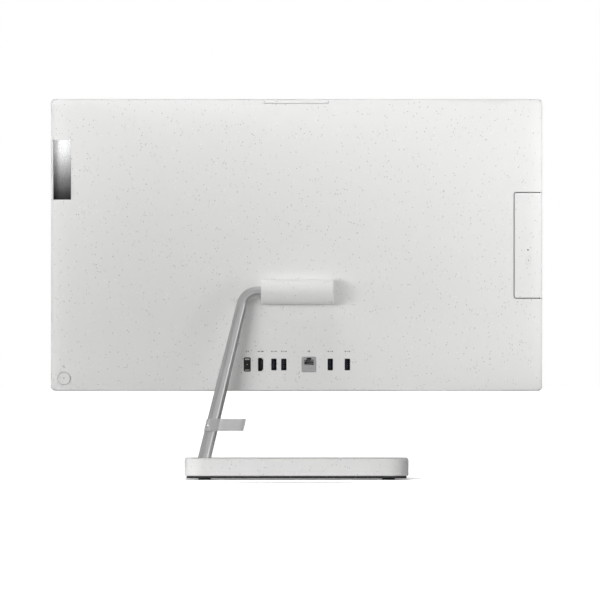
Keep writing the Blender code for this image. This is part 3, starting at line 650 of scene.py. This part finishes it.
def refined(node, bevel=0.0, angle=35, segments=2):
    # a welded copy of a CAD node with softened edges
    source = frame["nodes"][node]
    piece = bpy.data.objects.new(f"{node}_fine", source.data.copy())
    bpy.context.scene.collection.objects.link(piece)
    startEdit(piece, "VERT", "SELECT")
    bpy.ops.mesh.customdata_custom_splitnormals_clear()
    bpy.ops.mesh.remove_doubles(threshold=0.00001)
    bpy.ops.mesh.dissolve_limited(angle_limit=math.radians(0.4))
    endEdit()
    if bevel:
        soften(piece, bevel, segments)
    smooth(piece, angle)
    paint(piece, finishes[slotOf[node]])
    return standFor(piece, node)


# every CAD node first gets its slot's finish
for nodeName, nodeObject in frame["nodes"].items():
    paint(nodeObject, finishes[slotOf[nodeName]])


# white housings
housingBevels = {
    "rear_cover": 0.0,
    "front_frame": 0.0004,
    "base_shell": 0.0,
    "hinge_cover": 0.0003,
    "camera_housing": 0.0,
    "drive_bezel": 0.0002,
    "power_button": 0.0002,
    "eject_button": 0.0002,
}
for nodeName, bevelWidth in housingBevels.items():
    refined(nodeName, bevelWidth)
print("white housings refined")


# arm
armLook = {
    "half": (0.0083, 0.0110),  # half width and half depth where it leaves the base
    "tipHalf": 0.0068,
    "footRise": 0.0008,  # how far its foot stays above the lowest point of its node
    "cornerX": 0.0646,
    "bend": 0.020,
    "round": 0.0075,
    "facet": 0.0044,  # flat cut along one corner
    "crease": 0.0016,  # soft edges of that cut
    "stations": 4,
    "bendSteps": 12,
    "bore": 0.0053,
    "boreDeep": 0.016,
}


def makeArm():
    look = armLook
    up = Vector(jointOf["clip_slide"]["axis"]).normalized()
    hinge = Vector(jointOf["panel_tilt"]["pos_m"])
    corner = Vector((look["cornerX"], hinge.y, hinge.z))
    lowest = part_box("arm")[0].z
    along = Vector((-1, 0, 0))
    turn = up.angle(along)
    depthWays = up.cross(along).normalized()
    inwards = depthWays.cross(up)
    reach = look["bend"] * math.tan(turn / 2)
    start = corner - up * ((corner.z - lowest) / up.z - look["footRise"])
    straight = (corner - start).length - reach
    tip = corner.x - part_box("arm")[0].x - reach

    # the section: a plate with three round corners and one flat facet, drawn out into the bar
    wide, deep = look["half"]
    arm = primitive("plane", "arm_bar", size=2)
    arm.scale = (wide, deep, 1)
    settle(arm)
    startEdit(arm, "VERT")
    pick(arm, lambda at, _: not (at.x > 0 > at.y), "verts")
    bpy.ops.mesh.bevel(offset=look["round"], segments=8, affect="VERTICES")
    pick(arm, lambda at, _: at.x > wide * 0.999 and at.y < -deep * 0.999, "verts")
    bpy.ops.mesh.bevel(offset=look["facet"], segments=1, affect="VERTICES")
    pick(arm, lambda at, _: at.x - at.y > wide + deep - look["facet"] * 1.01, "verts")
    bpy.ops.mesh.bevel(offset=look["crease"], segments=4, affect="VERTICES")
    bpy.ops.mesh.select_all(action="SELECT")
    step = straight / look["stations"]
    for number in range(look["stations"]):
        bpy.ops.mesh.extrude_region_move(TRANSFORM_OT_translate={"value": (0, 0, step)})
        ratio = []
        for half in (wide, deep):
            taper = (look["tipHalf"] - half) / look["stations"]
            ratio.append((half + taper * (number + 1)) / (half + taper * number))
        bpy.ops.transform.resize(value=(*ratio, 1), center_override=(0, 0, step * (number + 1)))
    centre = (look["bend"], 0, straight)
    bpy.ops.mesh.spin(steps=look["bendSteps"], angle=-turn, center=centre, axis=(0, 1, 0))
    ahead = Vector((math.sin(turn), 0, math.cos(turn)))
    bpy.ops.mesh.extrude_region_move(TRANSFORM_OT_translate={"value": ahead * tip})
    bpy.ops.mesh.inset(thickness=look["tipHalf"] - look["bore"])
    bpy.ops.mesh.extrude_region_move(TRANSFORM_OT_translate={"value": ahead * -look["boreDeep"]})
    endEdit()
    faceOut(arm)

    # each point's place on the bar as if it were straight, for the streaks of its finish
    straightened = arm.data.attributes.new("straight", "FLOAT_VECTOR", "POINT")
    for vertex, entry in zip(arm.data.vertices, straightened.data):
        at = vertex.co
        angle = min(math.atan2(max(at.z - straight, 0), look["bend"] - at.x), turn)
        if at.z <= straight and at.x < look["bend"]:
            entry.vector = at
            continue
        out = Matrix.Rotation(-angle, 3, "Y") @ (at - Vector(centre)) + Vector(centre)
        entry.vector = (out.x, out.y, out.z + look["bend"] * angle)

    axes = Matrix((inwards, depthWays, up)).transposed().to_4x4()
    arm.matrix_world = Matrix.Translation(start) @ axes
    settle(arm)
    smooth(arm, 25)
    paint(arm, finishes["arm_metal"])
    return standFor(arm, "arm")


makeArm()
print("arm made")


# clip, badge, glass and trim refined from their nodes
trimBevels = {
    "cable_clip": 0.0004,
    "badge_plate": 0.0001,
    "display_glass": 0.0003,
    "base_plate": 0.0004,
    "rubber_foot_1": 0.0004,
    "rubber_foot_2": 0.0004,
    "rubber_foot_3": 0.0004,
    "rubber_foot_4": 0.0004,
    "hinge_shaft": 0.0004,
    "thrust_washer": 0.0002,
    "shaft_nut": 0.0004,
    "friction_barrel": 0.0004,
    "hinge_bracket": 0.0002,
    "camera_lens": 0.0003,
    "drive_tray": 0.0002,
    "heat_pipe": 0.0,
    "network_port": 0.0,
}
for nodeName, bevelWidth in trimBevels.items():
    refined(nodeName, bevelWidth)
print("trim refined")


# connectors
socketLook = {
    "rim": 0.00035,
    "set": 0.0004,  # how far a socket's face lies below its CAD face
    "edge": 0.0002,
    "backWall": 0.002,
    "contactThick": 0.0002,
    "contactBehind": 0.0060,  # from a socket's face to the middle of its contacts
}


def nodeBox(node):
    low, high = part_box(node)
    return low.copy(), high.copy()


def openBack(piece, rim, deep, test=None):
    # sinks the face that looks to +Y, inside a rim
    startEdit(piece)
    pick(piece, test or (lambda at, normal: normal.y > 0.9))
    bpy.ops.mesh.inset(thickness=rim)
    bpy.ops.mesh.extrude_region_move(TRANSFORM_OT_translate={"value": (0, -deep, 0)})
    endEdit()
    return piece


def contactRow(name, middle, across, up, count, pitch, deep):
    # flat spring contacts, one above the other
    strips = []
    for number in range(count):
        z = middle.z + (number - (count - 1) / 2) * pitch
        low = (middle.x - across / 2, middle.y - deep / 2, z - up / 2)
        high = (middle.x + across / 2, middle.y + deep / 2, z + up / 2)
        strips.append(block(f"{name}_{number}", low, high))
    return paint(joined(name, *strips), contactGold)


def shellPiece(node):
    # metal tube open to the back; its rim and inner walls are painted black, as painted shade of the recess
    low, high = nodeBox(node)
    high.y -= socketLook["set"]
    shell = block(f"{node}_fine", low, high)
    soften(shell, socketLook["edge"])
    openBack(shell, socketLook["rim"], high.y - low.y - socketLook["backWall"])
    smooth(shell)
    paint(shell, finishes["port_metal"])
    inset = socketLook["rim"] * 0.4

    # painted shade: the faces towards +Y (the rim) and the inner walls are painted black as the recess's
    # shade
    def within(at, normal):
        across = low.x + inset < at.x < high.x - inset and low.z + inset < at.z < high.z - inset
        return normal.y > 0.5 or (normal.y > -0.5 and across)

    return paintFaces(shell, socketBlackAndShade, within)


usbLook = {
    "tongue": (0.0001, 0.0019),  # the tongue's two faces, from the socket's middle
    "tongueEnd": 0.0016,
    "tongueEdge": 0.00025,
    "contacts": {"up": 0.0010, "count": 4, "pitch": 0.0024, "deep": 0.0070},
}


def makeUsb(node):
    look = usbLook
    low, high = nodeBox(node)
    shell = shellPiece(node)
    middle = (low + high) / 2
    near, far = look["tongue"]
    end = look["tongueEnd"]
    foot = (middle.x + near, low.y + socketLook["backWall"], low.z + end)
    tongue = block(f"{node}_tongue", foot, (middle.x + far, high.y - end, high.z - end))
    soften(tongue, look["tongueEdge"])
    paint(tongue, tongueBlue)
    at = Vector((middle.x + near / 2, high.y - socketLook["contactBehind"], middle.z))
    contacts = contactRow(f"{node}_contacts", at, socketLook["contactThick"], **look["contacts"])
    return standFor(joined(shell.name, shell, tongue, contacts), node)


hdmiLook = {
    "tongueHalf": 0.0008,
    "tongueEnd": 0.0026,
    "tongueShort": 0.0020,  # from the socket's face to the tongue's tip
    "contactFrom": 0.0009,
    "contacts": {"up": 0.0004, "count": 10, "pitch": 0.0010, "deep": 0.0060},
    "slant": 0.0020,  # the two cut corners
    "slantDeep": 0.004,
}


def makeHdmi(node):
    look = hdmiLook
    low, high = nodeBox(node)
    shell = shellPiece(node)
    middle = (low + high) / 2
    half, end = look["tongueHalf"], look["tongueEnd"]
    foot = (middle.x - half, low.y + socketLook["backWall"], low.z + end)
    tip = (middle.x + half, high.y - look["tongueShort"], high.z - end)
    tongue = block(f"{node}_tongue", foot, tip)
    soften(tongue, socketLook["edge"])
    paint(tongue, socketBlackAndShade)
    at = Vector((middle.x - look["contactFrom"], high.y - socketLook["contactBehind"], middle.z))
    contacts = contactRow(f"{node}_contacts", at, socketLook["contactThick"], **look["contacts"])
    corners = []
    slant = look["slant"]
    spans = ((low.z, low.z + slant), (high.z, high.z - slant))
    for number, (outer, inner) in enumerate(spans):
        start = (low.x, high.y - look["slantDeep"], min(outer, inner))
        wedge = block(f"{node}_corner_{number}", start, (low.x + slant, high.y, max(outer, inner)))

        def innerEdge(at, way):
            return at.x > low.x + slant * 0.9 and abs(at.z - inner) < 1e-5 and abs(way.y) > 0.001

        startEdit(wedge, "EDGE")
        pick(wedge, innerEdge, "edges")
        bpy.ops.mesh.bevel(offset=slant * 0.97, segments=1)
        endEdit()
        corners.append(paint(smooth(wedge), finishes["speckled_white"]))
    return standFor(joined(shell.name, shell, tongue, contacts, *corners), node)


networkLook = {
    "margin": 0.0009,  # gap round the metal face
    "gapDeep": 0.0018,
    "set": 0.0001,
    "top": 0.0010,  # from the socket's upper side to the opening
    "cuts": ((0.0059, 0.0088, 0.0022), (0.0030, 0.0030, 0.0)),  # half width, then from and to below the top
    "cutWall": 0.004,
    "edge": 0.00015,
    "wires": 8,
    "wirePitch": 0.00102,
    "wireForm": {"radius": 0.00018, "depth": 0.0090, "vertices": 8},
    "wireTilt": 72,
    "wireBehind": 0.0125,
    "wireBelow": 0.0058,
}


def makeNetwork(node):
    # metal-faced box with a stepped opening, contact wires and a gap round the face; the gap is painted black
    # as painted shade, and the inside of the opening is black plastic
    look = networkLook
    low, high = nodeBox(node)
    middle = (low.x + high.x) / 2
    face = high.y - look["set"]
    shell = block(f"{node}_fine", low, (high.x, face - look["gapDeep"], high.z))
    startEdit(shell)
    pick(shell, lambda at, normal: normal.y > 0.9)
    bpy.ops.mesh.inset(thickness=look["margin"])
    bpy.ops.mesh.extrude_region_move(TRANSFORM_OT_translate={"value": (0, look["gapDeep"], 0)})
    endEdit()
    top = high.z - look["top"]
    for number, (half, below, above) in enumerate(look["cuts"]):
        foot = (middle - half, low.y + look["cutWall"], top - below)
        cutter = block(f"cut_{number}", foot, (middle + half, high.y + 0.01, top - above))
        modify(shell, "BOOLEAN", object=cutter, operation="DIFFERENCE", solver="EXACT")
        bpy.data.objects.remove(cutter)
    soften(shell, look["edge"], 1)
    smooth(shell)
    paint(shell, finishes["port_metal"])

    # black plastic inside the opening, and painted shade on the gap round the metal face
    def within(at, normal):
        across = low.x + 1e-4 < at.x < high.x - 1e-4 and low.z + 1e-4 < at.z < high.z - 1e-4
        return across and low.y + 0.003 < at.y < face - 0.0003

    paintFaces(shell, socketBlackAndShade, within)
    wires = []
    turn = (math.radians(look["wireTilt"]), 0, 0)
    for number in range(look["wires"]):
        x = middle + (number - (look["wires"] - 1) / 2) * look["wirePitch"]
        place = (x, high.y - look["wireBehind"], top - look["wireBelow"])
        wire = primitive("cylinder", f"wire_{number}", location=place, rotation=turn, **look["wireForm"])
        wires.append(settle(wire))
    contacts = smooth(paint(joined(f"{node}_wires", *wires), contactGold))
    return standFor(joined(shell.name, shell, contacts), node)


inletLook = {
    "set": 0.0002,
    "corner": 0.0013,
    "cavities": ((0.0009, 0.0011), (0.00025, 0.0006)),  # rim and depth of each step inwards
    "edge": 0.0001,
    "side": 0.0012,  # from the frame's side to the bands
    "lowerBand": (0.0011, 0.0021),  # above the frame's lower end
    "upperBand": (0.0029, 0.0011),  # below its upper end
    "bandDepths": (0.0075, 0.0012),
    "pin": {"radius": 0.0006, "depth": 0.0060, "sides": 16},
    "pinBehind": 0.0040,
}


def makeInlet(node):
    # black frame, pale bands at its two ends, a deep cavity and a centre pin
    look = inletLook
    low, high = nodeBox(node)
    middle = (low + high) / 2
    shell = block(f"{node}_fine", low, (high.x, high.y - look["set"], high.z))
    startEdit(shell, "EDGE")
    pick(shell, lambda at, way: abs(way.y) > 0.001, "edges")
    bpy.ops.mesh.bevel(offset=look["corner"], segments=4)
    endEdit()
    for rim, deep in look["cavities"]:
        openBack(shell, rim, deep, lambda at, normal: normal.y > 0.9 and abs(at.x - middle.x) < 0.0005)
    soften(shell, look["edge"], 1)
    smooth(shell)
    paint(shell, finishes["black_plastic"])
    bands = []
    half = (high.x - low.x) / 2 - look["side"]
    behind, front = look["bandDepths"]
    lower = [low.z + rise for rise in look["lowerBand"]]
    upper = [high.z - drop for drop in look["upperBand"]]
    for number, (z0, z1) in enumerate((lower, upper)):
        foot = (middle.x - half, high.y - behind, z0)
        spring = block(f"band_{number}", foot, (middle.x + half, high.y - front, z1))
        bands.append(paint(soften(spring, socketLook["edge"]), finishes["port_metal"]))
    place = (middle.x, high.y - look["pinBehind"], middle.z)
    pin = smooth(rod("pin", place, turn=(math.radians(90), 0, 0), **look["pin"]))
    paint(pin, contactGold)
    return standFor(joined(shell.name, shell, *bands, pin), node)


for nodeName in ("usb_port_1", "usb_port_2", "usb_port_3", "usb_port_4"):
    makeUsb(nodeName)
makeHdmi("hdmi_port")
makeNetwork("network_port")
makeInlet("dc_inlet")
print("connectors made")


# printed marks, lamps and small holes on the white housings; the holes are black discs of painted shade
markLook = {
    "proud": 0.00006,
    "thick": 0.00012,
    "ringStroke": 0.00016,
    "pitDeep": 0.0005,
    "height": 0.1610,
    "usb": ((-0.0026, 0.0, 0.0018, 0.0012), (0.0, 0.0, 0.0020, 0.0006), (0.0026, 0.0, 0.0016, 0.0014)),
    "inlet": ((-0.0012, 0.0, 0.0010, 0.0018), (0.0012, 0.0, 0.0008, 0.0022)),
    "hdmi": ((-0.0022, 0.0, 0.0030, 0.0014), (0.0020, -0.0001, 0.0034, 0.0010)),
    "network": ((-0.0004, 0.0, 0.0014, 0.0024), (0.0012, 0.0, 0.0010, 0.0012)),
}


def coverDepth(x, z):
    # depth of the white housings' outer face, found by a ray from behind
    graph = bpy.context.evaluated_depsgraph_get()
    hit, place, *_ = bpy.context.scene.ray_cast(graph, Vector((x, 0.2, z)), Vector((0, -1, 0)))
    return place.y if hit else cadBox[1].y


def mark(name, strokes, node="rear_cover"):
    # short flat strokes, given by middle x, middle z, width and height, as one thin print
    bars = []
    for number, (x, z, wide, tall) in enumerate(strokes):
        y = coverDepth(x, z) + markLook["proud"]
        low = (x - wide / 2, y - markLook["thick"], z - tall / 2)
        bars.append(block(f"{name}_{number}", low, (x + wide / 2, y, z + tall / 2)))
    label = paint(joined(name, *bars), printGrey)
    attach(label, frame["nodes"][node]["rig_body"])
    return label


def ringMark(name, x, z, radius, node):
    y = coverDepth(x, z)
    form = {"major_radius": radius, "minor_radius": markLook["ringStroke"]}
    steps = {"major_segments": 32, "minor_segments": 6}
    turn = (math.radians(90), 0, 0)
    ring = settle(primitive("torus", name, location=(x, y, z), rotation=turn, **form, **steps))
    paint(ring, printGrey)
    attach(ring, frame["nodes"][node]["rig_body"])
    return ring


def pit(name, x, z, radius, node):
    # small dark lamp; a pin hole is a black disc, painted shade of the hole
    y = coverDepth(x, z)
    dot = rod(name, (x, y - 0.0002, z), radius, markLook["pitDeep"], (math.radians(90), 0, 0), 20)
    smooth(soften(dot, 0.0001))
    # lamps on the power button get lamp glass; the rest are painted black, which at the pin hole is painted
    # shade
    paint(dot, lampGlass if node == "power_button" else socketBlackAndShade)
    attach(dot, frame["nodes"][node]["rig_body"])
    return dot


markPlaces = [(f"usb_mark_{number}", f"usb_port_{number}", "usb") for number in range(1, 5)]
markPlaces += [("inlet_mark", "dc_inlet", "inlet"), ("hdmi_mark", "hdmi_port", "hdmi")]
markPlaces += [("network_mark", "network_port", "network")]
for markName, portName, kind in markPlaces:
    low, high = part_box(portName)
    middle = (low.x + high.x) / 2
    height = markLook["height"]
    mark(markName, [(middle + x, height + z, wide, tall) for x, z, wide, tall in markLook[kind]])
ringMark("power_mark", 0.2917, 0.1423, 0.0012, "rear_cover")
pit("power_lamp", 0.2920, 0.1272, 0.0008, "power_button")
pit("eject_pin_hole", -0.2908, 0.2885, 0.0010, "drive_bezel")
pit("eject_lamp", -0.2912, 0.2753, 0.0007, "eject_button")
print("marks made")


# studio: white surround for the camera, a shaped glow for the metal, soft lights and a pale floor
studioLook = {
    "ambient": 0.0,
    "floor": 0.85,
    "floorSeen": 1.9,
    "floorLift": 0.20,
    "floorGlow": 1.1,
    "floorNear": 0.130,  # inside this distance the floor shows its real shading
    "floorFar": 0.200,  # and past this one it is plain white
    "floorDeep": 0.25,  # shortens distances along Y, so the shaded patch is longer that way
    "floorSize": 60.0,
}
glowStops = (
    (0.00, 0.34), (0.20, 0.32), (0.30, 0.36), (0.345, 2.3), (0.395, 2.3), (0.44, 0.78), (0.485, 0.72),
    (0.53, 0.66), (0.58, 0.46), (0.64, 0.46), (0.72, 0.62), (1.00, 0.60),
)


def makeWorld():
    world = bpy.data.worlds.new("studio")
    bpy.context.scene.world = world
    world.use_nodes = True
    graph = Graph(world.node_tree)
    way = graph.node("ShaderNodeTexCoord", output="Generated")
    side = graph.node("ShaderNodeSeparateXYZ", {}, {"Vector": way}, "X")
    front = graph.node("ShaderNodeSeparateXYZ", {}, {"Vector": way}, "Y")
    turn = graph.node("ShaderNodeMath", {"operation": "ARCTAN2"}, {0: side, 1: front}) / (2 * math.pi) + 0.5
    glow = graph.ramp(turn, glowStops)
    camera = graph.node("ShaderNodeLightPath", output="Is Camera Ray")
    glossy = graph.node("ShaderNodeLightPath", output="Is Glossy Ray")
    colour = graph.mix(glossy, studioLook["ambient"], glow)
    colour = graph.mix(camera, colour, 1.0)
    graph.feed(world.node_tree.nodes["Background"].inputs["Color"], colour)


def softLight(name, place, aim, size, power, spread=180.0, glossy=False):
    data = bpy.data.lights.new(name, "AREA")
    data.shape = "RECTANGLE"
    data.size, data.size_y = size
    data.energy = power
    data.spread = math.radians(spread)
    light = bpy.data.objects.new(name, data)
    bpy.context.scene.collection.objects.link(light)
    light.location = place
    light.rotation_euler = (Vector(aim) - Vector(place)).to_track_quat("-Z", "Y").to_euler()
    light.visible_glossy = glossy
    return light


def makeFloor():
    look = studioLook
    floor = primitive("plane", "floor", size=look["floorSize"])
    finish = Finish("floor", 0.9, 0.9)
    finish.tree.nodes.remove(finish.shader)
    seen = finish.node("ShaderNodeLightPath", output="Is Camera Ray")
    paper = finish.mix(seen, look["floor"], look["floorSeen"])
    diffuse = finish.node("ShaderNodeBsdfDiffuse", {}, {"Color": paper})
    patch = finish.mapped((1, look["floorDeep"], 1))
    radius = finish.node("ShaderNodeVectorMath", {"operation": "LENGTH"}, {0: patch}, "Value")
    sockets = {"Value": radius, "From Min": look["floorNear"], "From Max": look["floorFar"]}
    far = finish.node("ShaderNodeMapRange", {"interpolation_type": "SMOOTHSTEP"}, sockets)
    strength = seen * (far * look["floorGlow"] + look["floorLift"])
    glow = finish.node("ShaderNodeEmission", {}, {"Strength": strength})
    both = finish.node("ShaderNodeAddShader", {}, {0: diffuse, 1: glow})
    finish.feed(finish.tree.nodes["Material Output"].inputs["Surface"], both)
    paint(floor, finish.material)


# each light's place, aim, size, power in watts and, where it is narrow, its spread in degrees
lights = {
    "key": ((2.0, 2.8, 0.30), (0.0, 0.0, 0.25), (2.3, 1.2), 76),
    "front": ((0.3, 2.6, 1.15), (0.0, 0.0, 0.25), (1.8, 1.2), 5.2),
    "overhead": ((0.3, 0.45, 1.1), (0.0, 0.0, 0.36), (1.6, 0.4), 1.05),
    "topWash": ((0.2, 1.2, 0.95), (0.26, 0.02, 0.53), (1.4, 0.3), 0.36, 22),
    "top": ((0.08, 0.22, 1.6), (0.0, 0.10, 0.05), (0.8, 0.2), 0.34, 30),
    "rimHigh": ((-2.9, 0.12, 0.95), (-0.38, 0.02, 0.37), (0.2, 0.4), 0.14, 9),
    "rimSide": ((-2.2, 0.9, 0.35), (-0.31, 0.02, 0.30), (0.2, 0.5), 0.22, 8),
    "rimWide": ((-2.4, 0.9, 1.1), (-0.20, 0.02, 0.36), (0.5, 0.8), 0.08, 30),
    "left": ((2.6, 0.45, 0.45), (0.25, 0.02, 0.3), (0.3, 0.8), 0.62, 40),
    "base": ((0.9, 1.9, 0.60), (0.06, 0.1, -0.03), (0.5, 0.1), 0.04, 7),
}
# the card that only the polished badge mirrors
badgeCard = ((1.75, 2.6, 0.40), (0.2945, 0.01, 0.39), (0.9, 0.45), 2.6)

makeWorld()
for lightName, settings in lights.items():
    softLight(lightName, *settings)
softLight("badgeCard", *badgeCard, glossy=True)
makeFloor()
print("studio lit")
